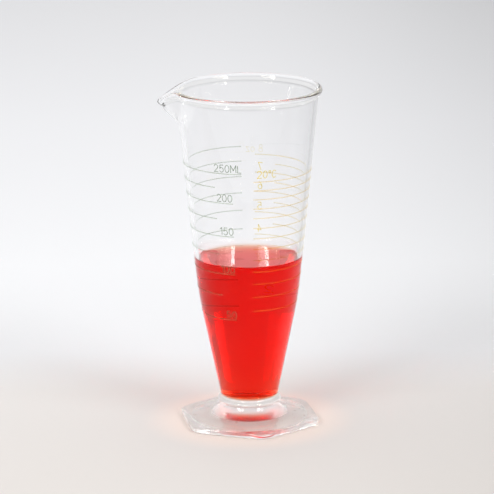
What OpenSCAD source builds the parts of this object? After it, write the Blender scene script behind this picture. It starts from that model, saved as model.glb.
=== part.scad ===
// Conical graduate: a flared measuring glass on a hexagonal glass foot, part filled
// with liquid. Two scales of fired enamel run round the wall, millilitres on the side
// of the lip and fluid ounces opposite. The height of every line, and of the liquid,
// follows from the volume that the bowl itself holds below it.

/* [Bowl] */
// Height of the top of the rim above the table
rim_top = 183.2; // [170:0.1:205]
// Outer radius of the wall where it runs into the rim
rim_r = 38.2; // [35:0.1:44]
// Height at which the narrow lower cone turns into the wide upper cone
bend_z = 69.5; // [55:0.5:85]
// Outer radius where the two cones would meet
bend_r = 26.8; // [24:0.1:31]
// Height above and below the bend that its rounding takes up
bend_run = 12.3; // [4:0.1:25]
// Outer radius of the lower cone at the level of the inner floor
floor_r = 14.9; // [13:0.1:18]
// Thickness of the wall, measured level
wall = 2.3; // [1.6:0.1:3]
// Thickness of the solid glass under the inner floor
floor_t = 4.8; // [3.5:0.1:7]
// Radius of the inside corner round the floor
floor_round = 2; // [1:0.1:6]

/* [Rim and lip] */
// Thickness of the polished bead along the rim
bead_d = 3.4; // [2.8:0.1:4.5]
// Height of wall below the rim that swells into the bead
bead_run = 4; // [3.5:0.1:8]
// How far the tip of the lip is drawn out past the rim
lip_reach = 8.5; // [4:0.1:14]
// How far the tip of the lip hangs below the rim
lip_drop = 7.4; // [2:0.1:10]
// Height of wall below the rim that is drawn out with the lip
lip_run = 26; // [18:0.5:32]
// Half the angle of wall that is drawn out, seen from above
lip_half = 34; // [22:1:44]
// Direction of the lip, turned from the +X axis
lip_dir = 170; // [160:1:200]

/* [Foot] */
// Distance across the corners of the foot before they are rounded
foot_corners = 80.6; // [70:0.2:96]
// Radius of those corners
corner_round = 10; // [2:0.5:16]
// Thickness of the foot at its corners
edge_t = 2.6; // [2:0.1:4]
// Fall of the plate towards its edge, in degrees
plate_fall = 6.5; // [2:0.5:9]
// Height of the foot up to its joint with the bowl
foot_h = 8; // [7:0.1:10]
// Radius of the concave sweep from the plate up to the joint
sweep_round = 5; // [4:0.5:10]
// Direction of one corner of the foot, turned from the +X axis
foot_turn = 40.8; // [30:0.1:90]
// Width of the flat rest round the dome in the underside, at the middle of a side
rest_w = 2.4; // [1:0.1:10]
// Height of that dome in the middle
dome_h = 3; // [1:0.1:3.5]

/* [Joint of bowl and foot] */
// How far the joint stands out past the lower cone
heel_step = 2.2; // [1:0.1:3]
// Radius of the rolled heel of the bowl at the joint
heel_round = 1.6; // [0.8:0.1:2]
// Radius of the hollow between the heel and the lower cone
hollow_round = 3; // [1:0.1:6]
// Radius of the foot's edge at the joint
joint_round = 0.8; // [0.3:0.1:1.5]

/* [Scales] */
// Width of a line
line_w = 0.5; // [0.3:0.1:1.2]
// Thickness of the enamel
enamel_t = 0.15; // [0.1:0.05:0.4]
// Lowest line of the millilitre scale
ml_first = 50; // [25:25:100]
// Highest line of the millilitre scale
ml_last = 250; // [150:25:250]
// Step of the millilitre scale
ml_step = 25; // [25:25:50]
// Lowest line of the ounce scale
oz_first = 2; // [1:0.5:3]
// Highest line of the ounce scale
oz_last = 8; // [5:0.5:8]
// Step of the ounce scale
oz_step = 0.5; // [0.5:0.5:1]
// Angle from the middle of the front to the highest millilitre line
ml_gap_top = 5.5; // [2:0.5:15]
// Angle from the middle of the front to the other numbered millilitre lines
ml_gap_numbered = 14; // [8:0.5:24]
// Angle from the middle of the front to the millilitre lines with no number
ml_gap_plain = 31; // [20:0.5:40]
// Angle from the middle of the back to every millilitre line
ml_gap_back = 6; // [2:0.5:20]
// Angle from the middle of the front to every ounce line
oz_gap_front = 5; // [2:0.5:20]
// Angle from the middle of the back to the whole ounce lines
oz_gap_whole = 7; // [2:0.5:20]
// Angle from the middle of the back to the half ounce lines
oz_gap_half = 28; // [15:0.5:40]

/* [Liquid] */
// Volume of liquid in the bowl, in millilitres
fill_ml = 108; // [20:1:230]

/* [Hidden] */
$fn = 96;
// Cubic millimetres in a millilitre, and millilitres in a fluid ounce
ML = 1000;
OZ = 29.5735;
// Every other line of the millilitre scale carries a number
ML_NUMBERED = 2;
// Directions of the middle of the front and of the back
FRONT = 270;
BACK = 90;
// Steps along a rounded stretch of an outline, and of the search for a level
ARC_STEPS = 8;
LEVEL_STEPS = 28;
// Steps of the lip across its width and along its height
LIP_ACROSS = 40;
LIP_ALONG = 12;
// Roundness of the lip's tip, sharpness of its sides, and width of its root to its mouth
LIP_TIP = 0.3;
LIP_SIDE = 2.1;
LIP_ROOT = 0.7;
// Belly of the lip seen from the side
LIP_BELLY = 1.9;
// Swell of the drawn glass over the wall, and its laps past the wall it replaces
LIP_SWELL = 0.07;
LIP_LAP_Z = 0.5;
LIP_LAP_ANGLE = 0.6;
// Clear height between the highest line and the drawn part of the wall
LINE_CLEAR = 2;
// Sides of the foot
FOOT_SIDES = 6;

bead_r = bead_d / 2;
rim_z = rim_top - bead_r;
floor_z = foot_h + floor_t;
neck_r = floor_r + heel_step;
half_side = 180 / FOOT_SIDES;
lip_z = rim_z - lip_run;
swell_z = rim_z - bead_run;

// Points of an arc about c from angle a0 to angle a1
function arc(c, r, a0, a1) =
    [for (i = [0 : ARC_STEPS]) let (a = a0 + (a1 - a0) * i / ARC_STEPS) c + r * [cos(a), sin(a)]];

// Smooth step from 0 to 1
function ease(t) = t <= 0 ? 0 : t >= 1 ? 1 : t * t * (3 - 2 * t);

// Point where the line from p touches the circle about c, on its right (-1) or left (1)
function touch(p, c, r, side) =
    let (d = norm(c - p))
    let (a = atan2(c[1] - p[1], c[0] - p[0]) + side * asin(r / d))
    p + sqrt(d * d - r * r) * [cos(a), sin(a)];

// Outer wall from the inner floor to the bead: two cones with a rounded bend between
low_slope = (bend_r - floor_r) / (bend_z - floor_z);
high_slope = (rim_r - bend_r) / (rim_z - bend_z);
bend = [bend_r, bend_z];
bend_low = bend - bend_run * [low_slope, 1];
bend_high = bend + bend_run * [high_slope, 1];
bend_arc = [for (i = [0 : ARC_STEPS]) let (t = i / ARC_STEPS)
    (1 - t) * (1 - t) * bend_low + 2 * t * (1 - t) * bend + t * t * bend_high];
wall_top = [rim_r - bead_run * high_slope, swell_z];
wall_table = [for (p = concat([[floor_r, floor_z]], bend_arc, [wall_top])) [p[1], p[0]]];
function wall_r(z) = lookup(z, wall_table);

// Bead along the rim
bead_c = [rim_r, rim_z];
bead_out = touch(wall_top, bead_c, bead_r, -1);
bead_in = touch(wall_top - [wall, 0], bead_c, bead_r, 1);

// Rolled heel at the joint, and the hollow that carries it into the lower cone
cone_angle = atan(low_slope);
along = [sin(cone_angle), cos(cone_angle)];
out = [cos(cone_angle), -sin(cone_angle)];
heel_c = [neck_r - heel_round, foot_h + heel_round];
hollow_foot = [floor_r, floor_z] + hollow_round * out - heel_c;
hollow_run = hollow_foot * along;
hollow_gap = heel_round + hollow_round;
hollow_t = sqrt(hollow_run * hollow_run - hollow_foot * hollow_foot + hollow_gap * hollow_gap);
hollow_c = heel_c + hollow_foot + (hollow_t - hollow_run) * along;
heel_end = atan2(hollow_c[1] - heel_c[1], hollow_c[0] - heel_c[0]);
heel_arc = arc(heel_c, heel_round, -90, heel_end);
hollow_arc = arc(hollow_c, hollow_round, heel_end + 180, 180 - cone_angle);

// Inside of the bowl, from the middle of the floor up to the bead
corner_c = [floor_r + floor_round * low_slope - wall - floor_round / cos(cone_angle), floor_z + floor_round];
inside = concat(
    [[0, floor_z]],
    arc(corner_c, floor_round, -90, -cone_angle),
    [for (p = bend_arc) p - [wall, 0]],
    [wall_top - [wall, 0]]
);

// Volume inside the bowl below a level, as a stack of cone slices
function slice(a, b, z) =
    b[1] <= a[1] || z <= a[1] ? 0 :
    let (t = min(1, (z - a[1]) / (b[1] - a[1])))
    let (r = a[0] + t * (b[0] - a[0]))
    PI / 3 * t * (b[1] - a[1]) * (a[0] * a[0] + a[0] * r + r * r);
function held(z, i = 0) = i + 1 >= len(inside) ? 0 : slice(inside[i], inside[i + 1], z) + held(z, i + 1);

// Level at which the bowl holds a volume, by halving the range
function level(volume, low = floor_z, high = swell_z, n = LEVEL_STEPS) =
    let (middle = (low + high) / 2)
    n == 0 ? middle :
    held(middle) < volume ? level(volume, middle, high, n - 1) : level(volume, low, middle, n - 1);

fill_z = level(fill_ml * ML);
line_top = lip_z - LINE_CLEAR;
ml_marks = [for (v = [ml_first : ml_step : ml_last]) if (level(v * ML) < line_top) v];
oz_marks = [for (v = [oz_first : oz_step : oz_last]) if (level(v * OZ * ML) < line_top) v];
function ml_name(v) = str("ml_line_", v);
function oz_name(v) = str("oz_line_", floor(v), "_", 10 * (v - floor(v)));

// Share of the lip's draw at a height, and across the wall at an angle from its middle
function lip_rise(z) = ease((z - lip_z) / lip_run);
function lip_fall(a, rise) =
    let (u = min(1, abs(a) / (lip_half * (LIP_ROOT + (1 - LIP_ROOT) * rise))))
    let (edge = sqrt(1 + LIP_TIP * LIP_TIP))
    pow((edge - sqrt(u * u + LIP_TIP * LIP_TIP)) / (edge - LIP_TIP), LIP_SIDE);
function drawn(p, a) =
    let (rise = lip_rise(p[1]))
    let (fall = lip_fall(a, rise))
    let (r = p[0] + lip_reach * fall * pow(rise, LIP_BELLY))
    [r * cos(lip_dir + a), r * sin(lip_dir + a), p[1] - lip_drop * fall * rise];

// Outline of the wall and bead where the lip is drawn, anticlockwise from the outer foot
lip_levels = [for (i = [0 : LIP_ALONG]) lip_z - LIP_LAP_Z + (swell_z - lip_z + LIP_LAP_Z) * i / LIP_ALONG];
bead_a0 = atan2(bead_out[1] - rim_z, bead_out[0] - rim_r);
bead_a1 = atan2(bead_in[1] - rim_z, bead_in[0] - rim_r);
lip_outline = concat(
    [for (z = lip_levels) [wall_r(z) + LIP_SWELL, z]],
    arc(bead_c, bead_r + LIP_SWELL, bead_a0, bead_a1 + (bead_a1 < bead_a0 ? 360 : 0)),
    [for (i = [LIP_ALONG : -1 : 0]) [wall_r(lip_levels[i]) - wall - LIP_SWELL, lip_levels[i]]]
);

// Section through the wall of the bowl
module bowl_section() {
    polygon(concat(
        [[0, foot_h]],
        heel_arc,
        hollow_arc,
        bend_arc,
        [wall_top, bead_out, bead_c, bead_in],
        [for (i = [len(inside) - 1 : -1 : 0]) inside[i]]
    ));
    translate(bead_c) circle(bead_r);
}

// Sector of the upper wall that makes room for the lip
module lip_window() {
    rotate([0, 0, lip_dir - lip_half])
        rotate_extrude(angle = 2 * lip_half)
            translate([rim_r / 2, lip_z])
                square([rim_r, lip_run + bead_d]);
}

// Pouring lip: the outline of the wall, drawn out and down towards its middle
module lip() {
    n = len(lip_outline);
    reach_angle = lip_half + LIP_LAP_ANGLE;
    points = [for (i = [0 : LIP_ACROSS], p = lip_outline) drawn(p, reach_angle * (2 * i / LIP_ACROSS - 1))];
    skin = [for (i = [0 : LIP_ACROSS - 1], j = [0 : n - 1], half = [0, 1])
        let (a = i * n + j)
        let (b = i * n + (j + 1) % n)
        half == 0 ? [a, b, b + n] : [a, b + n, a + n]];
    side_end = [for (i = [0 : LIP_ALONG - 1], half = [0, 1])
        half == 0 ? [i, i + 1, n - 2 - i] : [i, n - 2 - i, n - 1 - i]];
    bead_end = [for (j = [LIP_ALONG + 1 : n - LIP_ALONG - 2]) [LIP_ALONG, j, j + 1]];
    last_end = [for (f = concat(side_end, bead_end)) f + LIP_ACROSS * n * [1, 1, 1]];
    first_end = [for (f = concat(side_end, bead_end)) [f[2], f[1], f[0]]];
    polyhedron(points, concat(skin, first_end, last_end));
}

module bowl() {
    color("aliceblue", 0.35) {
        difference() {
            rotate_extrude() bowl_section();
            lip_window();
        }
        lip();
    }
}

// Rounded hexagon that the foot is pressed to
module foot_outline() {
    corner_at = foot_corners / 2 - corner_round / cos(half_side);
    polygon([for (k = [0 : FOOT_SIDES - 1], p = arc([0, 0], corner_round, -half_side, half_side))
        let (a = foot_turn + 2 * half_side * k)
        let (q = p + [corner_at, 0])
        [q[0] * cos(a) - q[1] * sin(a), q[0] * sin(a) + q[1] * cos(a)]]);
}

// Section of the foot: dome in its underside, plate that falls to its edge, concave sweep
// and rounded joint edge
module foot_section() {
    corner_r = foot_corners / 2;
    dome_r = corner_r * cos(half_side) - rest_w;
    ball_r = (dome_r * dome_r + dome_h * dome_h) / (2 * dome_h);
    sweep_r = neck_r + sweep_round;
    sweep_end_r = sweep_r - sweep_round * sin(plate_fall);
    sweep_end_z = edge_t + (corner_r - sweep_end_r) * tan(plate_fall);
    sweep_z = sweep_end_z + sweep_round * cos(plate_fall);
    shoulder_z = foot_h - joint_round;
    sweep_start = 180 + asin((sweep_z - shoulder_z) / sweep_round);
    shoulder_r = sweep_r + sweep_round * cos(sweep_start);
    polygon(concat(
        arc([0, dome_h - ball_r], ball_r, 90, 90 - asin(dome_r / ball_r)),
        [[corner_r, 0], [corner_r, edge_t]],
        arc([sweep_r, sweep_z], sweep_round, 270 - plate_fall, sweep_start),
        arc([shoulder_r - joint_round, shoulder_z], joint_round, 0, 90),
        [[0, foot_h]]
    ));
}

module foot() {
    color("aliceblue", 0.45)
        intersection() {
            rotate_extrude() foot_section();
            linear_extrude(foot_h) foot_outline();
        }
}

module liquid() {
    color("crimson", 0.85)
        rotate_extrude()
            polygon(concat(
                [for (p = inside) if (p[1] < fill_z) p],
                [[wall_r(fill_z) - wall, fill_z], [0, fill_z]]
            ));
}

// Enamel line on the outer wall at the level of a volume
module line(volume, start, end) {
    z = level(volume);
    low = z - line_w / 2;
    high = z + line_w / 2;
    rotate([0, 0, start])
        rotate_extrude(angle = end - start)
            polygon([
                [wall_r(low), low],
                [wall_r(low) + enamel_t, low],
                [wall_r(high) + enamel_t, high],
                [wall_r(high), high]
            ]);
}

module ml_line(v) {
    numbered = v % (ML_NUMBERED * ml_step) == 0;
    gap = v == ml_last ? ml_gap_top : numbered ? ml_gap_numbered : ml_gap_plain;
    color("darkseagreen") line(v * ML, BACK + ml_gap_back, FRONT - gap);
}

module oz_line(v) {
    gap = v == floor(v) ? oz_gap_whole : oz_gap_half;
    color("goldenrod") line(v * OZ * ML, FRONT + oz_gap_front, BACK + 360 - gap);
}

bowl();
foot();
liquid();
for (v = ml_marks) ml_line(v);
for (v = oz_marks) oz_line(v);
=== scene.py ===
"""Looks of a conical graduate: clear glass on a six-sided foot, red liquid and enamel scales.

Sizes of the object are in millimetres in the row frame, and become metres where a mesh is made.
The places of the camera and the lamps, and all sizes of the lamps and the table, are in metres.
Angles are in degrees.
"""
from math import asin, atan, atan2, cos, degrees, exp, hypot, radians, sin, sqrt, tan

import bmesh
import bpy
from mathutils import Matrix, Vector


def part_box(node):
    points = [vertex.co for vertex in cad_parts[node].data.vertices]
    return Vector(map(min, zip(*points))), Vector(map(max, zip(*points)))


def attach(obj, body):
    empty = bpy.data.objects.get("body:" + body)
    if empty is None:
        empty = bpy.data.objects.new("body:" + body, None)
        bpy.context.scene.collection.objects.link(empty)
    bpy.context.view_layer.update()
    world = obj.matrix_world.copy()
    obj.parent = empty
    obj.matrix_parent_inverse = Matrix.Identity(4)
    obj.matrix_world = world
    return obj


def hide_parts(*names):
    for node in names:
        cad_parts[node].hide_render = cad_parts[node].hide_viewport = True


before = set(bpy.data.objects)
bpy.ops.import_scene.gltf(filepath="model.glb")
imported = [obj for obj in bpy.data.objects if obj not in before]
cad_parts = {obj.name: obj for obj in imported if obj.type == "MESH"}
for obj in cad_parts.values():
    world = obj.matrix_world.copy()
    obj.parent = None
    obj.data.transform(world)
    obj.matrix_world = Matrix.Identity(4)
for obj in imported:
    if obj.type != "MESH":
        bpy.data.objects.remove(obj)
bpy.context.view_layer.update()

MM = 0.001


def low_high(node):
    """Lowest and highest corner of a CAD node, in millimetres."""
    low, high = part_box(node)
    return low / MM, high / MM


# Sizes that the frame gives

FOOT_H = low_high("foot")[1].z
RIM_TOP = low_high("bowl")[1].z
FLOOR_Z = low_high("liquid")[0].z
FILL_Z = low_high("liquid")[1].z

# Sizes of the bowl

RIM_R = 38.19
BEND_Z = 69.5
BEND_R = 26.8
BEND_RUN = 12.3
FLOOR_R = 14.9
WALL = 2.3
FLOOR_ROUND = 2.0
BEAD_R = 1.7
BEAD_RUN = 2.8
HEEL_STEP = 2.2
HEEL_ROUND = 1.6
HOLLOW_ROUND = 3.0

# How far the joint shows above the end of the foot's solid

JOINT_UP = 2.1

# Sizes of the lip, its half width and direction in degrees, and the shares that shape it

LIP_REACH = 8.5
LIP_DROP = 7.4
LIP_RUN = 26.0
LIP_HALF = 34.0
LIP_DIR = 170.0
LIP_TIP = 0.3
LIP_SIDE = 2.1
LIP_ROOT = 0.7
LIP_BELLY = 1.9

# Heights, radii and slopes that follow

JOINT_Z = FOOT_H + JOINT_UP
RIM_Z = RIM_TOP - BEAD_R
LIP_Z = RIM_Z - LIP_RUN
SWELL_Z = RIM_Z - BEAD_RUN
NECK_R = FLOOR_R + HEEL_STEP
LOW_SLOPE = (BEND_R - FLOOR_R) / (BEND_Z - FLOOR_Z)
HIGH_SLOPE = (RIM_R - BEND_R) / (RIM_Z - BEND_Z)
CONE_ANGLE = degrees(atan(LOW_SLOPE))

# Sizes of the foot

FOOT_CORNERS = 80.6
CORNER_ROUND = 10.0
EDGE_T = 2.6
PLATE_FALL = 6.5
SWEEP_ROUND = 8.5
FOOT_TURN = 40.8
EDGE_SOFT = 1.2
LOW_SOFT = 0.3
DOME_R = 31.0
DOME_H = 3.0
CORNERS = 6
HALF_SIDE = 180 / CORNERS

# Bowl and foot are fused inside this radius

FUSED_R = NECK_R - HEEL_ROUND

# Sizes of the liquid, whose edge climbs the wall, and the hair between it and the glass

MENISCUS = 1.3
MENISCUS_RUN = 1.4
MENISCUS_UP = 0.4
MENISCUS_WIDTH = 9.0
LIQUID_GAP = 0.02
CONTACT_Z = FILL_Z + MENISCUS_UP
LEVEL_Z = CONTACT_Z - MENISCUS

# Numbers: their values, sizes and places beside the lines

ML_NUMBERS = (50, 100, 150, 200)
OZ_NUMBERS = (2, 3, 4, 5, 6, 7)
SIGN_H = 3.9
SIGN_GAP = 0.23
STROKE_HALF = 0.21
STROKE_LIFT = 0.06
ML_NUMBER_UP = 0.9
ML_NUMBER_END = 255.2
ML_TOP_END = 264.2
OZ_NUMBER_UP = 1.4
OZ_NUMBER_START = 75.6
DEGREES_Z = 141.4
DEGREES_START = 278.4

# Fineness of the meshes

ROUND_STEPS = 288
ARC_STEPS = 12
LEVEL_STEP = 6.0
LIP_STEP = 1.0
BOW_STEPS = 24
CAP_STEPS = 3
STROKE_STEP = 0.3
STROKE_SIDES = 8
LOOP_GAP = 0.03
CORNER_STEP_SHARE = 0.2
SIDE_STEP = 3.5
EDGE_STEP = 15
EDGE_HOLD = 0.15
PLATE_RINGS = (0.02, 0.25, 0.5, 0.75, 0.97, 1.0)

# Camera, as fitted to the photograph's square frame, with its sensor and lens in millimetres

CAMERA_AT = Vector((0.0, -1.7229, 0.5414))
CAMERA_PITCH = radians(14.502)
CAMERA_YAW = radians(-0.023)
CAMERA_ROLL = radians(-0.453)
SENSOR = 36.0
LENS = 242.17

# Light is followed this far, because the foot passes it on from side to side

LIGHT_BOUNCES = 96

# Share of the light that the glass mirrors when seen squarely, against plain glass

OUTER_SHINE = (0.4, 0.37, 0.3)
FOOT_SHINE = (0.9, 0.9, 0.9)
INNER_SHINE = (2.5, 2.5, 2.5)

# Glass and liquid: roughness of polished and of moulded glass, and what they do to light

POLISHED_ROUGH = (0.0, 0.02)
MOULDED_ROUGH = (0.27, 0.32)
GLASS_COLOUR = (0.997, 0.998, 1.0)
GLASS_IOR = 1.47
LIQUID_IOR = 1.33
LIQUID_COLOUR = (0.986, 0.33, 0.0)
LIQUID_DENSITY = 250.0

# Enamels: darkest and lightest paint, stain of the light that passes, and share that the paint covers

ENAMELS = {
    "green_enamel": ((0.21, 0.24, 0.11), (0.28, 0.31, 0.16), (0.92, 0.955, 0.92), 0.17),
    "yellow_enamel": ((0.95, 0.4, 0.04), (1.0, 0.5, 0.08), (0.985, 0.96, 0.84), 0.1),
    "green_number_enamel": ((0.13, 0.19, 0.1), (0.18, 0.25, 0.14), (0.9, 0.96, 0.9), 0.38),
    "yellow_number_enamel": ((0.8, 0.5, 0.03), (0.95, 0.65, 0.08), (0.98, 0.9, 0.5), 0.07),
    "worn_yellow_enamel": ((0.9, 0.6, 0.1), (1.0, 0.7, 0.2), (0.99, 0.97, 0.88), 0.03),
}

# Roughness of the enamel, and how its cover varies about its share

ENAMEL_ROUGH = (0.3, 0.5)
ENAMEL_WORN = 0.8
ENAMEL_FULL = 1.2

# Fineness of the materials' patterns, in cells per metre, and where most of a pattern's values lie

GLASS_WAVES = 45.0
GLASS_WEAR = 260.0
ENAMEL_SPECKS = 1500.0
ENAMEL_PATCHES = 250.0
TABLE_GRAIN = 900.0
NOISE_LOW = 0.3
NOISE_HIGH = 0.7

# Highest value of one indirect path of light, high enough for the lamps to show in the glass

PATH_LIMIT = 25.0

# Lamps: azimuths from the front, heights as angles, and power in watts for each square metre

SOFTBOXES = {"left_softbox": (-38, 20.0), "right_softbox": (47, 16.8)}
SOFTBOX_UP = 32
SOFTBOX_AWAY = 2.4
SOFTBOX_SIZE = (1.0, 1.0)
CATCH_LIGHTS = {"left_catch_light": -45, "right_catch_light": 38}
CATCH_UP = 28
CATCH_AWAY = 2.3
CATCH_SIZE = (0.32, 0.75)
CATCH_POWER = 84.0
LAMP_AIM = Vector((0, 0, 0.09))

# Light of the room, and where it changes, in parts of a direction of length 1

ROOM_FRONT = 0.75
ROOM_BACK = 1.05
ROOM_TOP = 0.85
ROOM_SIDES = 0.85
ROOM_COLOUR = (1.0, 0.985, 0.965)
LOW_COLOUR = (0.78, 0.78, 0.785)
TOP_FADE = (0.5, 1.0)
SIDE_FADE = (0.4, 0.9)
BEHIND_FADE = (0.6, 0.9)
LOW_FADE = (0.35, 0.65)

# Table, its tones at places from near to far, which are its own warm and cool colours with painted shade
# in front and far off, and the share of them left at the right, which is painted shade

TABLE_R = 3.0
TABLE_SIDES = 96
TABLE_GAP = 0.0002
TABLE_ROUGH = 0.7
TABLE_SHINE = 0.2
FLOOR_NEAR = -0.5
FLOOR_FAR = 1.5
FLOOR_TONES_AND_SHADE = (
    (-0.3, (0.66, 0.63, 0.61)),
    (-0.12, (0.74, 0.71, 0.69)),
    (0.05, (0.77, 0.75, 0.74)),
    (0.13, (0.845, 0.857, 0.885)),
    (0.33, (0.912, 0.926, 0.958)),
    (0.75, (0.89, 0.903, 0.94)),
    (1.3, (0.815, 0.827, 0.86)),
)
FLOOR_LEFT = -0.05
FLOOR_RIGHT = 0.35
FLOOR_RIGHT_SHADE = 0.72

# Tint of the table round the foot, for the warm light that falls there through the liquid

GLOW_TINT = (1.2, 1.09, 1.03)
GLOW_FROM = 0.034
GLOW_TO = 0.062


# Outlines


def arc(centre, radius, start, end, steps=ARC_STEPS):
    """Points of an arc about a centre, between two angles in degrees."""
    turns = [radians(start + (end - start) * i / steps) for i in range(steps + 1)]
    return [(centre[0] + radius * cos(a), centre[1] + radius * sin(a)) for a in turns]


def between(a, b, step):
    """Evenly spaced values from a to b, no further apart than a step."""
    count = max(1, round(abs(b - a) / step))
    return [a + (b - a) * i / count for i in range(count + 1)]


def ease(t):
    """Smooth step from 0 to 1."""
    t = min(1.0, max(0.0, t))
    return t * t * (3 - 2 * t)


def wall_r(z):
    """Outer radius of the wall: two cones with a rounded bend between."""
    t = (z - BEND_Z + BEND_RUN) / (2 * BEND_RUN)
    if t <= 0:
        return BEND_R + (z - BEND_Z) * LOW_SLOPE
    if t >= 1:
        return BEND_R + (z - BEND_Z) * HIGH_SLOPE
    low = BEND_R - BEND_RUN * LOW_SLOPE
    high = BEND_R + BEND_RUN * HIGH_SLOPE
    return (1 - t) ** 2 * low + 2 * t * (1 - t) * BEND_R + t * t * high


def touch(p, centre, radius, side):
    """Where the line from p touches a circle, on its right (-1) or left (1)."""
    dx, dy = centre[0] - p[0], centre[1] - p[1]
    d = hypot(dx, dy)
    a = atan2(dy, dx) + side * asin(radius / d)
    run = sqrt(d * d - radius * radius)
    return (p[0] + run * cos(a), p[1] + run * sin(a))


def floor_corner(gap):
    """Inside corner round the floor, moved inwards by a gap, from the floor to the wall."""
    lean = radians(CONE_ANGLE)
    across = FLOOR_R + FLOOR_ROUND * LOW_SLOPE - WALL - FLOOR_ROUND / cos(lean)
    return arc((across, FLOOR_Z + FLOOR_ROUND), FLOOR_ROUND - gap, -90, -CONE_ANGLE)


def heel_outline():
    """Rolled heel at the joint and the hollow above it, up to the lower cone."""
    lean = radians(CONE_ANGLE)
    along = Vector((sin(lean), cos(lean)))
    out = Vector((cos(lean), -sin(lean)))
    heel = Vector((NECK_R - HEEL_ROUND, JOINT_Z + HEEL_ROUND))
    to_cone = Vector((FLOOR_R, FLOOR_Z)) + HOLLOW_ROUND * out - heel
    run = to_cone.dot(along)
    gap = HEEL_ROUND + HOLLOW_ROUND
    hollow = heel + to_cone + (sqrt(run * run - to_cone.dot(to_cone) + gap * gap) - run) * along
    turn = degrees(atan2(hollow.y - heel.y, hollow.x - heel.x))
    heel_arc = arc(heel, HEEL_ROUND, -90, turn)
    return heel_arc + arc(hollow, HOLLOW_ROUND, turn + 180, 180 - CONE_ANGLE)[1:]


def wall_levels(low, high):
    """Heights of the rings along the wall, closer at the bend and where the lip is drawn."""
    bend_low, bend_high = BEND_Z - BEND_RUN, BEND_Z + BEND_RUN
    stops = [low] + [z for z in (bend_low, bend_high, LIP_Z) if low < z < high] + [high]
    levels = [low]
    for a, b in zip(stops, stops[1:]):
        step = LEVEL_STEP
        if a >= LIP_Z:
            step = LIP_STEP
        elif bend_low <= a < bend_high:
            step = BEND_RUN / ARC_STEPS
        levels += between(a, b, step)[1:]
    return levels


def wet_levels(low):
    """Heights of the rings along the wetted wall."""
    return [z for z in wall_levels(low, SWELL_Z) if z < CONTACT_Z - LIP_STEP] + [CONTACT_Z]


def drawn(r, z, turn):
    """Point of the wall at a radius, a height and a turn from the lip, drawn out with the lip."""
    rise = ease((z - LIP_Z) / LIP_RUN)
    width = LIP_HALF * (LIP_ROOT + (1 - LIP_ROOT) * rise)
    edge = sqrt(1 + LIP_TIP * LIP_TIP)
    share = min(1.0, abs(turn) / width)
    fall = max(0.0, (edge - hypot(share, LIP_TIP)) / (edge - LIP_TIP)) ** LIP_SIDE
    r += LIP_REACH * fall * rise ** LIP_BELLY
    a = radians(LIP_DIR + turn)
    return Vector((r * cos(a), r * sin(a), z - LIP_DROP * fall * rise))


# Meshes


def skin(bm, rings, slots=None, creases=(), closed=False):
    """Adds a smooth skin over rings of points in millimetres, with a material slot for each band.

    A ring of one point is a pole, the rings named in creases stay sharp, and a closed skin
    runs on from its last ring to its first.
    """
    rows = [[bm.verts.new(p * MM) for p in ring] for ring in rings]
    ends = rows[1:] + rows[:1] if closed else rows[1:]
    for lower, upper, slot in zip(rows, ends, slots or [0] * len(rows)):
        count = max(len(lower), len(upper))
        for i in range(count):
            j = (i + 1) % count
            corners = (
                lower[i % len(lower)],
                lower[j % len(lower)],
                upper[j % len(upper)],
                upper[i % len(upper)],
            )
            face = bm.faces.new(list(dict.fromkeys(corners)))
            face.material_index = slot
            face.smooth = True
    for k in creases:
        for a, b in zip(rows[k], rows[k][1:] + rows[k][:1]):
            bm.edges.get((a, b)).smooth = False


def add_object(name, bm):
    """Turns a mesh under construction into an object of the scene."""
    mesh = bpy.data.meshes.new(name)
    bm.to_mesh(mesh)
    bm.free()
    thing = bpy.data.objects.new(name, mesh)
    bpy.context.scene.collection.objects.link(thing)
    return thing


def loft(name, rings, slots=None, creases=()):
    """One skin as an object."""
    bm = bmesh.new()
    skin(bm, rings, slots, creases)
    return add_object(name, bm)


def round_ring(r, z):
    """Ring of a round piece, or its pole."""
    if r == 0:
        return [Vector((0, 0, z))]
    turns = [360 * i / ROUND_STEPS - 180 for i in range(ROUND_STEPS)]
    return [drawn(r, z, turn) for turn in turns]


def dress(piece, materials, slot, *nodes):
    """Gives a piece its materials and its place in the frame."""
    for material in materials:
        piece.data.materials.append(material)
    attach(piece, "root")
    if nodes:
        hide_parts(*nodes)


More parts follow.
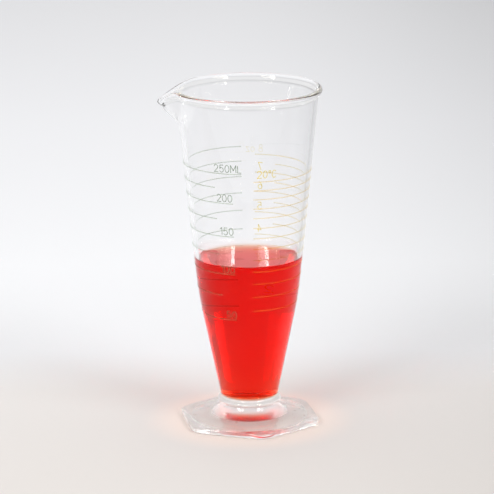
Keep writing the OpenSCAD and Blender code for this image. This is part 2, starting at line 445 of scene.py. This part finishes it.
def make_bowl(materials):
    """Bowl: heel, two cones, bead, drawn lip and inside, fused to the foot and wetted by the liquid.

    Its materials are those of the plain, the joined and the far inner glass.
    """
    wall_top = (wall_r(SWELL_Z), SWELL_Z)
    inner_top = (wall_top[0] - WALL, SWELL_Z)
    bead = (RIM_R, RIM_Z)
    bead_out = touch(wall_top, bead, BEAD_R, -1)
    bead_in = touch(inner_top, bead, BEAD_R, 1)
    bead_start = degrees(atan2(bead_out[1] - RIM_Z, bead_out[0] - RIM_R))
    bead_end = degrees(atan2(bead_in[1] - RIM_Z, bead_in[0] - RIM_R)) % 360

    heel = heel_outline()
    outside = [(wall_r(z), z) for z in wall_levels(heel[-1][1], SWELL_Z)[1:]]
    rim = arc(bead, BEAD_R, bead_start, bead_end, 2 * ARC_STEPS)
    corner = floor_corner(0)
    dry = [(wall_r(z) - WALL, z) for z in reversed(wall_levels(CONTACT_Z, SWELL_Z))]
    wet = [(wall_r(z) - WALL, z) for z in reversed(wet_levels(corner[-1][1])[:-1])]
    outer = heel + outside + rim
    outline = [(0, JOINT_Z)] + outer + dry + wet[:-1] + corner[::-1] + [(0, FLOOR_Z)]

    # The first band is the fused joint, and what follows the dry part of the inside is wetted
    plain, joined, inner = range(3)
    dried = len(outer) + len(dry)
    slots = [joined] + [plain] * len(outer) + [inner] * (len(dry) - 1)
    slots += [joined] * (len(outline) - 1 - dried)
    rings = [round_ring(r, z) for r, z in outline]
    piece = loft("glass_bowl", rings, slots)

    # Only the far side of the dry inside has its own shine
    for face in piece.data.polygons:
        if face.material_index == inner and face.center.y < 0:
            face.material_index = plain
    dress(piece, materials, "glass", "bowl")


def make_liquid(material):
    """Liquid, a hair inside the wall, with a meniscus that climbs it."""
    corner = floor_corner(LIQUID_GAP)
    levels = wet_levels(corner[-1][1])[1:]
    side = [(0, FLOOR_Z + LIQUID_GAP)] + corner
    side += [(wall_r(z) - WALL - LIQUID_GAP, z) for z in levels]
    edge_r = side[-1][0]
    inset = [MENISCUS_WIDTH * (i / ARC_STEPS) ** 2 for i in range(1, ARC_STEPS + 1)]
    top = [(edge_r - d, LEVEL_Z + MENISCUS * exp(-d / MENISCUS_RUN)) for d in inset]
    top.append((0, LEVEL_Z))
    rings = [round_ring(r, z) for r, z in side + top]
    piece = loft("red_liquid", rings, creases=[len(side) - 1])

    # Marks the faces that meet air and not glass
    open_air = piece.data.attributes.new("open_air", "FLOAT", "FACE")
    for face, value in zip(piece.data.polygons, open_air.data):
        value.value = 1.0 if face.normal.z > 0 else 0.0
    dress(piece, [material], "liquid", "liquid")


def foot_angles():
    """Angles round the foot, closer at its corners, and the corners' half angle and centre."""
    half = radians(HALF_SIDE)
    middle = FOOT_CORNERS / 2 - CORNER_ROUND / cos(half)
    tangent = degrees(atan2(CORNER_ROUND * sin(half), middle + CORNER_ROUND * cos(half)))
    step = 2 * HALF_SIDE
    near = between(-tangent, tangent, tangent * CORNER_STEP_SHARE)
    far = between(tangent, step - tangent, SIDE_STEP)[1:-1]
    return [FOOT_TURN + k * step + a for k in range(CORNERS) for a in near + far], tangent, middle


def make_foot(materials):
    """Foot: rounded hexagon plate with softened edges, swept up to the joint with the bowl.

    Its materials are those of the plain, the joined and the moulded glass.
    """
    angles, tangent, middle = foot_angles()
    apothem = FOOT_CORNERS / 2 * cos(radians(HALF_SIDE))

    def outline_r(angle):
        """Radius of the hexagon with rounded corners at an angle."""
        a = (angle - FOOT_TURN + HALF_SIDE) % (2 * HALF_SIDE) - HALF_SIDE
        if abs(a) > tangent:
            return apothem / cos(radians(HALF_SIDE - abs(a)))
        across = middle * sin(radians(a))
        return middle * cos(radians(a)) + sqrt(CORNER_ROUND ** 2 - across ** 2)

    corner_r = FOOT_CORNERS / 2
    fall = radians(PLATE_FALL)

    def plate_z(r):
        """Height of the sloping plate at a radius."""
        return EDGE_T + (corner_r - r) * tan(fall)

    # The sweep leaves the plate smoothly and ends at the joint with the bowl
    rise = (JOINT_Z - plate_z(FUSED_R)) * cos(fall)
    run = sqrt(2 * SWEEP_ROUND * rise - rise * rise)
    sweep_end_r = FUSED_R - rise * sin(fall) + run * cos(fall)
    sweep_r = sweep_end_r + SWEEP_ROUND * sin(fall)
    sweep_z = plate_z(sweep_end_r) + SWEEP_ROUND * cos(fall)
    sweep_turn = degrees(asin(run / SWEEP_ROUND))

    def foot_ring(r_at, z_at):
        """Ring with a radius that follows the hexagon's edge, and a height that follows both."""
        points = []
        for angle in angles:
            r = r_at(outline_r(angle))
            a = radians(angle)
            points.append(Vector((r * cos(a), r * sin(a), z_at(r, outline_r(angle)))))
        return points

    def soft_edge(soft, centre_z, start, end):
        """Rings of a softened edge, from one angle of its arc to the other."""
        turns = [radians(t) for t in between(start, end, EDGE_STEP)]
        return [
            foot_ring(
                lambda edge, t=t: edge - soft + soft * cos(t),
                lambda r, edge, t=t: centre_z(edge) + soft * sin(t),
            )
            for t in turns
        ]

    ball_r = (DOME_R ** 2 + DOME_H ** 2) / (2 * DOME_H)
    dome = [
        foot_ring(lambda edge, r=r: r, lambda r, edge: sqrt(ball_r ** 2 - r ** 2) - ball_r + DOME_H)
        for r in between(DOME_R / ARC_STEPS, DOME_R, DOME_R / ARC_STEPS)
    ]
    under = foot_ring(lambda edge: edge - LOW_SOFT - EDGE_HOLD, lambda r, edge: 0.0)
    low_edge = soft_edge(LOW_SOFT, lambda edge: LOW_SOFT, -90, 0)
    high_edge = soft_edge(EDGE_SOFT, lambda edge: plate_z(edge) - EDGE_SOFT, 0, 90 - PLATE_FALL)
    plate = [
        foot_ring(
            lambda edge, t=t: (1 - t) * (edge - EDGE_SOFT) + t * sweep_end_r,
            lambda r, edge: plate_z(r),
        )
        for t in PLATE_RINGS
    ]

    plate_turn = 270 - PLATE_FALL
    sweep = arc((sweep_r, sweep_z), SWEEP_ROUND, plate_turn, plate_turn - sweep_turn)[1:]
    neck = [foot_ring(lambda edge, p=p: p[0], lambda r, edge, p=p: p[1]) for p in sweep]

    bottom = [[Vector((0, 0, DOME_H))]] + dome + [under]
    rings = bottom + low_edge + high_edge + plate + neck + [[Vector((0, 0, JOINT_Z))]]
    plain, joined, moulded = range(3)
    slots = [moulded] * len(dome) + [plain] * (len(rings) - 2 - len(dome)) + [joined]
    creases = [len(dome), len(rings) - 2]
    dress(loft("glass_foot", rings, slots, creases), materials, "glass", "foot")


# Numbers of the scales, drawn with a round stroke in a box of height 1


def bow(centre, radii, start, end):
    """Points of an oval bow between two angles in degrees."""
    turns = [radians(start + (end - start) * i / BOW_STEPS) for i in range(BOW_STEPS + 1)]
    return [(centre[0] + radii[0] * cos(t), centre[1] + radii[1] * sin(t)) for t in turns]


def oval(centre, radii):
    """Points once round an oval."""
    return bow(centre, radii, 90, 450)


def sign(width, *strokes):
    """A sign's width and the strokes that it is drawn with."""
    return width, strokes


SIGNS = {
    " ": sign(0.2),
    "0": sign(0.56, oval((0.28, 0.5), (0.28, 0.5))),
    "1": sign(0.36, [(0.06, 0.76), (0.34, 1.0)], [(0.34, 1.0), (0.34, 0.0)]),
    "2": sign(
        0.56,
        bow((0.28, 0.73), (0.27, 0.27), 165, -38) + [(0.0, 0.0)],
        [(0.0, 0.0), (0.56, 0.0)],
    ),
    "3": sign(
        0.56,
        bow((0.27, 0.76), (0.24, 0.24), 150, -90),
        bow((0.27, 0.26), (0.28, 0.26), 90, -150),
    ),
    "4": sign(
        0.56,
        [(0.42, 0.0), (0.42, 1.0)],
        [(0.42, 1.0), (0.0, 0.28)],
        [(0.0, 0.28), (0.56, 0.28)],
    ),
    "5": sign(
        0.56,
        [(0.52, 1.0), (0.1, 1.0)],
        [(0.1, 1.0), (0.06, 0.52)],
        bow((0.27, 0.32), (0.28, 0.32), 140, -150),
    ),
    "6": sign(0.56, oval((0.28, 0.3), (0.28, 0.3)), bow((0.56, 0.3), (0.56, 0.7), 180, 105)),
    "7": sign(0.56, [(0.0, 1.0), (0.56, 1.0)], [(0.56, 1.0), (0.18, 0.0)]),
    "8": sign(0.56, oval((0.28, 0.765), (0.23, 0.235)), oval((0.28, 0.265), (0.28, 0.265))),
    "C": sign(0.56, bow((0.3, 0.5), (0.3, 0.5), 50, 310)),
    "L": sign(0.46, [(0.0, 1.0), (0.0, 0.0)], [(0.0, 0.0), (0.46, 0.0)]),
    "M": sign(
        0.72,
        [(0.0, 0.0), (0.0, 1.0)],
        [(0.0, 1.0), (0.36, 0.3)],
        [(0.36, 0.3), (0.72, 1.0)],
        [(0.72, 1.0), (0.72, 0.0)],
    ),
    "o": sign(0.5, oval((0.25, 0.33), (0.25, 0.33))),
    "z": sign(
        0.44,
        [(0.0, 0.66), (0.44, 0.66)],
        [(0.44, 0.66), (0.0, 0.0)],
        [(0.0, 0.0), (0.44, 0.0)],
    ),
    "°": sign(0.24, oval((0.12, 0.86), (0.12, 0.14))),
}


def finer(points):
    """The same stroke with points no further apart than a step."""
    fine = [points[0]]
    for a, b in zip(points, points[1:]):
        count = max(1, round((b - a).length / STROKE_STEP))
        fine += [a.lerp(b, (i + 1) / count) for i in range(count)]
    return fine


def stroke_rings(points, wrap):
    """Rings of a flat round-ended stroke along points, wrapped on the wall; a loop has no ends."""
    loop = (points[0] - points[-1]).length < LOOP_GAP
    last = len(points) - 1
    spots = []
    for i, p in enumerate(points[:-1] if loop else points):
        before = points[(i - 1) % last] if loop else points[max(i - 1, 0)]
        after = points[(i + 1) % last] if loop else points[min(i + 1, last)]
        spots.append((p, (after - before).normalized(), 1.0))
    if not loop:
        turns = [radians(90 * k / CAP_STEPS) for k in range(1, CAP_STEPS)]
        first, final = spots[0], spots[-1]
        front = [(first[0] - first[1] * STROKE_HALF * sin(t), first[1], cos(t)) for t in reversed(turns)]
        rear = [(final[0] + final[1] * STROKE_HALF * sin(t), final[1], cos(t)) for t in turns]
        spots = front + spots + rear
    rings = []
    turns = [radians(360 * k / STROKE_SIDES) for k in range(STROKE_SIDES)]
    for p, ahead, share in spots:
        aside = Vector((-ahead.y, ahead.x)) * STROKE_HALF * share
        lift = STROKE_LIFT * share
        rings.append([wrap(p + aside * cos(t), lift * sin(t)) for t in turns])
    if not loop:
        tips = (points[0] - first[1] * STROKE_HALF, points[-1] + final[1] * STROKE_HALF)
        rings = [[wrap(tips[0], 0.0)]] + rings + [[wrap(tips[1], 0.0)]]
    return rings, loop


def text_width(text):
    """Width of a line of signs in millimetres."""
    widths = [SIGNS[letter][0] for letter in text]
    return SIGN_H * (sum(widths) + SIGN_GAP * (len(text) - 1))


def write(bm, text, low, start=None, end=None):
    """Adds a line of signs to a mesh, from its lower edge and the azimuth of its start or its end."""
    round_r = wall_r(low)
    if start is None:
        start = end - degrees(text_width(text) / round_r)

    def wrap(spot, lift):
        """Point of the wall for a spot of the text, lifted off the glass."""
        z = low + spot.y
        r = wall_r(z) + lift
        a = radians(start) + spot.x / round_r
        return Vector((r * cos(a), r * sin(a), z))

    at = 0.0
    for letter in text:
        width, strokes = SIGNS[letter]
        for stroke in strokes:
            points = finer([Vector((at + SIGN_H * x, SIGN_H * y)) for x, y in stroke])
            rings, loop = stroke_rings(points, wrap)
            skin(bm, rings, closed=loop)
        at += SIGN_H * (width + SIGN_GAP)


def line_z(node):
    """Height of a scale's line."""
    low, high = low_high(node)
    return (low.z + high.z) / 2


def make_numbers(name, texts, material, slot):
    """Piece with several lines of signs, each given as the arguments of write."""
    bm = bmesh.new()
    for text, places in texts.items():
        write(bm, text, **places)
    bmesh.ops.recalc_face_normals(bm, faces=bm.faces)
    dress(add_object(name, bm), [material], slot)


# Materials


class Shader:
    """The node tree of a material or the world, with short calls to add and join nodes."""

    def __init__(self, owner, output="ShaderNodeOutputMaterial"):
        owner.use_nodes = True
        self.owner = owner
        self.tree = owner.node_tree
        self.tree.nodes.clear()
        self.output = self.add(output)

    def add(self, kind, values=(), **settings):
        """Adds a node with its settings, and sets or links its inputs."""
        node = self.tree.nodes.new(kind)
        for name, value in settings.items():
            setattr(node, name, value)
        for name, value in dict(values).items():
            if isinstance(value, bpy.types.NodeSocket):
                self.tree.links.new(value, node.inputs[name])
            else:
                node.inputs[name].default_value = value
        return node

    def surface(self, socket):
        """Ends the tree with its surface, and gives back the material or world."""
        self.tree.links.new(socket, self.output.inputs["Surface"])
        return self.owner

    def place(self):
        """Place on the object, in metres."""
        return self.add("ShaderNodeTexCoord").outputs["Object"]

    def noise(self, scale, detail=3.0):
        """Noise pattern with so many cells per metre."""
        values = {"Vector": self.place(), "Scale": scale, "Detail": detail}
        return self.add("ShaderNodeTexNoise", values).outputs["Fac"]

    def spread(self, fac, low, high):
        """Maps a noise between two numbers."""
        values = {
            "Value": fac,
            "From Min": NOISE_LOW,
            "From Max": NOISE_HIGH,
            "To Min": low,
            "To Max": high,
        }
        return self.add("ShaderNodeMapRange", values).outputs["Result"]

    def tones(self, fac, low, high):
        """Maps a noise between two colours."""
        return self.mix(self.spread(fac, 0, 1), low, high)

    def slide(self, value, start, end, low, high):
        """Goes smoothly from low to high while a value goes from start to end."""
        values = {"Value": value, "From Min": start, "From Max": end, "To Min": low, "To Max": high}
        return self.add("ShaderNodeMapRange", values, interpolation_type="SMOOTHSTEP").outputs["Result"]

    def times(self, a, b):
        """Product of two values."""
        return self.add("ShaderNodeMath", {0: a, 1: b}, operation="MULTIPLY").outputs["Value"]

    def mix(self, fac, low, high):
        """Mixes two plain colours. The node has sockets of the same names for other kinds of data."""
        first_colour, second_colour, mixed_colour = 6, 7, 2
        values = {"Factor": fac, first_colour: (*low, 1), second_colour: (*high, 1)}
        return self.add("ShaderNodeMix", values, data_type="RGBA").outputs[mixed_colour]

    def bump(self, height, strength, distance):
        """Normal of a surface with a height pattern."""
        values = {"Height": height, "Strength": strength, "Distance": distance}
        return self.add("ShaderNodeBump", values).outputs["Normal"]


def glass_material(name, shine, rough):
    """Clear glass, with the faint waves of blown and pressed ware and a few duller patches."""
    s = Shader(bpy.data.materials.new(name))
    waves = s.noise(GLASS_WAVES, detail=1.0)
    wear = s.noise(GLASS_WEAR)
    shader = s.add("ShaderNodeBsdfPrincipled", {
        "Base Color": (*GLASS_COLOUR, 1),
        "Transmission Weight": 1.0,
        "IOR": GLASS_IOR,
        "Specular Tint": (*shine, 1),
        "Roughness": s.spread(wear, *rough),
        "Normal": s.bump(waves, strength=0.001, distance=0.001),
    })
    return s.surface(shader.outputs["BSDF"])


def joined_material():
    """Where glass is fused to glass or wetted by the liquid, no surface shows."""
    s = Shader(bpy.data.materials.new("joined_glass"))
    return s.surface(s.add("ShaderNodeBsdfTransparent").outputs["BSDF"])


def liquid_material():
    """Tinted water: clear where it is thin, orange and then deep red where it is thick."""
    s = Shader(bpy.data.materials.new("red_liquid"))
    mark = s.add("ShaderNodeAttribute", attribute_name="open_air", attribute_type="GEOMETRY")
    step = {"Value": mark.outputs["Fac"], "To Min": LIQUID_IOR / GLASS_IOR, "To Max": LIQUID_IOR}
    shader = s.add("ShaderNodeBsdfPrincipled", {
        "Base Color": (1, 1, 1, 1),
        "Transmission Weight": 1.0,
        "IOR": s.add("ShaderNodeMapRange", step).outputs["Result"],
        "Roughness": 0.0,
    })
    stain = {"Color": (*LIQUID_COLOUR, 1), "Density": LIQUID_DENSITY}
    inside = s.add("ShaderNodeVolumeAbsorption", stain)
    s.tree.links.new(inside.outputs["Volume"], s.output.inputs["Volume"])
    return s.surface(shader.outputs["BSDF"])


def enamel_material(name, low, high, tint, opacity):
    """Thin fired enamel: it stains the light that it lets through, with specks and worn patches."""
    s = Shader(bpy.data.materials.new(name))
    specks = s.noise(ENAMEL_SPECKS)
    patches = s.noise(ENAMEL_PATCHES)
    paint = s.add("ShaderNodeBsdfPrincipled", {
        "Base Color": s.tones(specks, low, high),
        "Roughness": s.spread(specks, *ENAMEL_ROUGH),
        "Normal": s.bump(specks, strength=0.2, distance=0.0001),
    })
    clear = s.add("ShaderNodeBsdfTransparent", {"Color": (*tint, 1)})
    cover = s.spread(patches, ENAMEL_WORN * opacity, ENAMEL_FULL * opacity)
    mix = s.add("ShaderNodeMixShader", {"Fac": cover})
    s.tree.links.new(clear.outputs["BSDF"], mix.inputs[1])
    s.tree.links.new(paint.outputs["BSDF"], mix.inputs[2])
    return s.surface(mix.outputs["Shader"])


def floor_material():
    """Matt pale table, warm near the object and cool and white behind it, with painted shade: dim in
    front, darker to the right and grey far off, and painted warm light round the object.
    """
    s = Shader(bpy.data.materials.new("table"))
    place = s.add("ShaderNodeSeparateXYZ", {"Vector": s.place()}).outputs
    along = s.add("ShaderNodeMapRange", {
        "Value": place["Y"],
        "From Min": FLOOR_NEAR,
        "From Max": FLOOR_FAR,
    })
    # Painted shade: the table grows darker towards the right
    across = s.slide(place["X"], FLOOR_LEFT, FLOOR_RIGHT, 1.0, FLOOR_RIGHT_SHADE)
    # Tones from near to far: the table's warm and cool colours, and painted shade, dim in front and grey
    # far off
    ramp = s.add("ShaderNodeValToRGB", {"Fac": along.outputs["Result"]})
    stops = ramp.color_ramp.elements
    while len(stops) < len(FLOOR_TONES_AND_SHADE):
        stops.new(0.5)
    for stop, (at, tone) in zip(stops, FLOOR_TONES_AND_SHADE):
        stop.position = (at - FLOOR_NEAR) / (FLOOR_FAR - FLOOR_NEAR)
        stop.color = (*tone, 1)
    dimmed = {0: ramp.outputs["Color"], "Scale": across}
    tone = s.add("ShaderNodeVectorMath", dimmed, operation="SCALE").outputs["Vector"]
    # Painted light: a warm tint round the foot, for light fallen there through the liquid
    away = s.add("ShaderNodeVectorMath", {0: s.place()}, operation="LENGTH").outputs["Value"]
    glow = s.mix(s.slide(away, GLOW_FROM, GLOW_TO, 1, 0), (1, 1, 1), GLOW_TINT)
    lit = s.add("ShaderNodeVectorMath", {0: tone, 1: glow}, operation="MULTIPLY").outputs["Vector"]
    shader = s.add("ShaderNodeBsdfPrincipled", {
        "Base Color": lit,
        "Roughness": TABLE_ROUGH,
        "Specular IOR Level": TABLE_SHINE,
        "Normal": s.bump(s.noise(TABLE_GRAIN), strength=0.05, distance=0.0002),
    })
    return s.surface(shader.outputs["BSDF"])


# Stage


def make_floor():
    """Round table top, a hair below the foot."""
    bm = bmesh.new()
    bmesh.ops.create_circle(bm, cap_ends=True, segments=TABLE_SIDES, radius=TABLE_R)
    floor = add_object("table", bm)
    floor.data.materials.append(floor_material())
    floor.location.z = -TABLE_GAP


def make_camera():
    """Camera at the photograph's place, with its slight roll."""
    camera = bpy.data.cameras.new("camera")
    camera.sensor_width = SENSOR
    camera.lens = LENS
    holder = bpy.data.objects.new("camera", camera)
    level = Vector((cos(CAMERA_YAW), -sin(CAMERA_YAW), 0))
    ahead = Vector((
        cos(CAMERA_PITCH) * sin(CAMERA_YAW),
        cos(CAMERA_PITCH) * cos(CAMERA_YAW),
        -sin(CAMERA_PITCH),
    ))
    above = level.cross(ahead)
    right = cos(CAMERA_ROLL) * level + sin(CAMERA_ROLL) * above
    up = cos(CAMERA_ROLL) * above - sin(CAMERA_ROLL) * level
    turn = Matrix((right, up, -ahead)).transposed()
    holder.matrix_world = Matrix.Translation(CAMERA_AT) @ turn.to_4x4()
    bpy.context.scene.collection.objects.link(holder)
    bpy.context.scene.camera = holder


def make_lamp(name, azimuth, elevation, distance, size, power, only_gloss=False):
    """Area lamp that faces the bowl, placed by its direction from it. Azimuth 0 is the front.

    A lamp that is only for gloss shows in the glass and lights no matt surface.
    """
    light = bpy.data.lights.new(name, "AREA")
    light.shape = "RECTANGLE"
    light.size, light.size_y = size
    light.energy = power * size[0] * size[1]
    holder = bpy.data.objects.new(name, light)
    a, e = radians(azimuth), radians(elevation)
    away = Vector((sin(a) * cos(e), -cos(a) * cos(e), sin(e)))
    holder.location = LAMP_AIM + distance * away
    holder.rotation_mode = "QUATERNION"
    holder.rotation_quaternion = away.to_track_quat("Z", "Y")
    holder.visible_diffuse = not only_gloss
    bpy.context.scene.collection.objects.link(holder)


def make_world():
    """Pale room, dimmer in front, overhead and at the sides, and grey low down behind the object."""
    s = Shader(bpy.data.worlds.new("room"), "ShaderNodeOutputWorld")
    towards = s.add("ShaderNodeTexCoord").outputs["Generated"]
    way = s.add("ShaderNodeSeparateXYZ", {"Vector": towards}).outputs
    aside = s.add("ShaderNodeMath", {0: way["X"]}, operation="ABSOLUTE").outputs["Value"]
    level = s.times(
        s.slide(way["Y"], -1, 1, ROOM_FRONT, ROOM_BACK),
        s.times(s.slide(way["Z"], *TOP_FADE, 1, ROOM_TOP), s.slide(aside, *SIDE_FADE, 1, ROOM_SIDES)),
    )
    low_behind = s.times(s.slide(way["Y"], *BEHIND_FADE, 0, 1), s.slide(way["Z"], *LOW_FADE, 1, 0))
    light = s.add("ShaderNodeBackground", {
        "Color": s.mix(low_behind, ROOM_COLOUR, LOW_COLOUR),
        "Strength": level,
    })
    bpy.context.scene.world = s.surface(light.outputs["Background"])


# The scene

make_camera()
make_world()
make_floor()
for name, (azimuth, power) in SOFTBOXES.items():
    make_lamp(name, azimuth, SOFTBOX_UP, SOFTBOX_AWAY, SOFTBOX_SIZE, power)
for name, azimuth in CATCH_LIGHTS.items():
    make_lamp(name, azimuth, CATCH_UP, CATCH_AWAY, CATCH_SIZE, CATCH_POWER, only_gloss=True)

clear_glass = glass_material("clear_glass", OUTER_SHINE, POLISHED_ROUGH)
inner_glass = glass_material("inner_glass", INNER_SHINE, POLISHED_ROUGH)
foot_glass = glass_material("foot_glass", FOOT_SHINE, POLISHED_ROUGH)
moulded_glass = glass_material("moulded_glass", FOOT_SHINE, MOULDED_ROUGH)
joined_glass = joined_material()
make_bowl([clear_glass, joined_glass, inner_glass])
make_foot([foot_glass, joined_glass, moulded_glass])
make_liquid(liquid_material())

enamels = {name: enamel_material(name, *look) for name, look in ENAMELS.items()}
for name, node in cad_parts.items():
    if "_line_" in name:
        colour = "green_enamel" if name.startswith("ml") else "yellow_enamel"
        node.data.materials.clear()
        node.data.materials.append(enamels[colour])

ml_texts = {
    str(v): {"low": line_z(f"ml_line_{v}") + ML_NUMBER_UP, "end": ML_NUMBER_END}
    for v in ML_NUMBERS
}
ml_texts["250ML"] = {"low": line_z("ml_line_250") + ML_NUMBER_UP, "end": ML_TOP_END}
oz_texts = {
    str(v): {"low": line_z(f"oz_line_{v}_0") + OZ_NUMBER_UP, "start": OZ_NUMBER_START}
    for v in OZ_NUMBERS
}
top_text = {"8 oz": {"low": line_z("oz_line_8_0") + OZ_NUMBER_UP, "start": OZ_NUMBER_START}}
degrees_text = {"20°C": {"low": DEGREES_Z, "start": DEGREES_START}}
make_numbers("ml_numbers", ml_texts, enamels["green_number_enamel"], "enamel_green")
make_numbers("oz_numbers", oz_texts, enamels["yellow_number_enamel"], "enamel_yellow")
make_numbers("oz_top_number", top_text, enamels["worn_yellow_enamel"], "enamel_yellow")
make_numbers("degrees_number", degrees_text, enamels["yellow_number_enamel"], "enamel_yellow")

scene = bpy.context.scene
scene.view_settings.view_transform = "Standard"
for limit in ("max_bounces", "transmission_bounces", "glossy_bounces", "transparent_max_bounces"):
    setattr(scene.cycles, limit, LIGHT_BOUNCES)
scene.cycles.sample_clamp_indirect = PATH_LIMIT
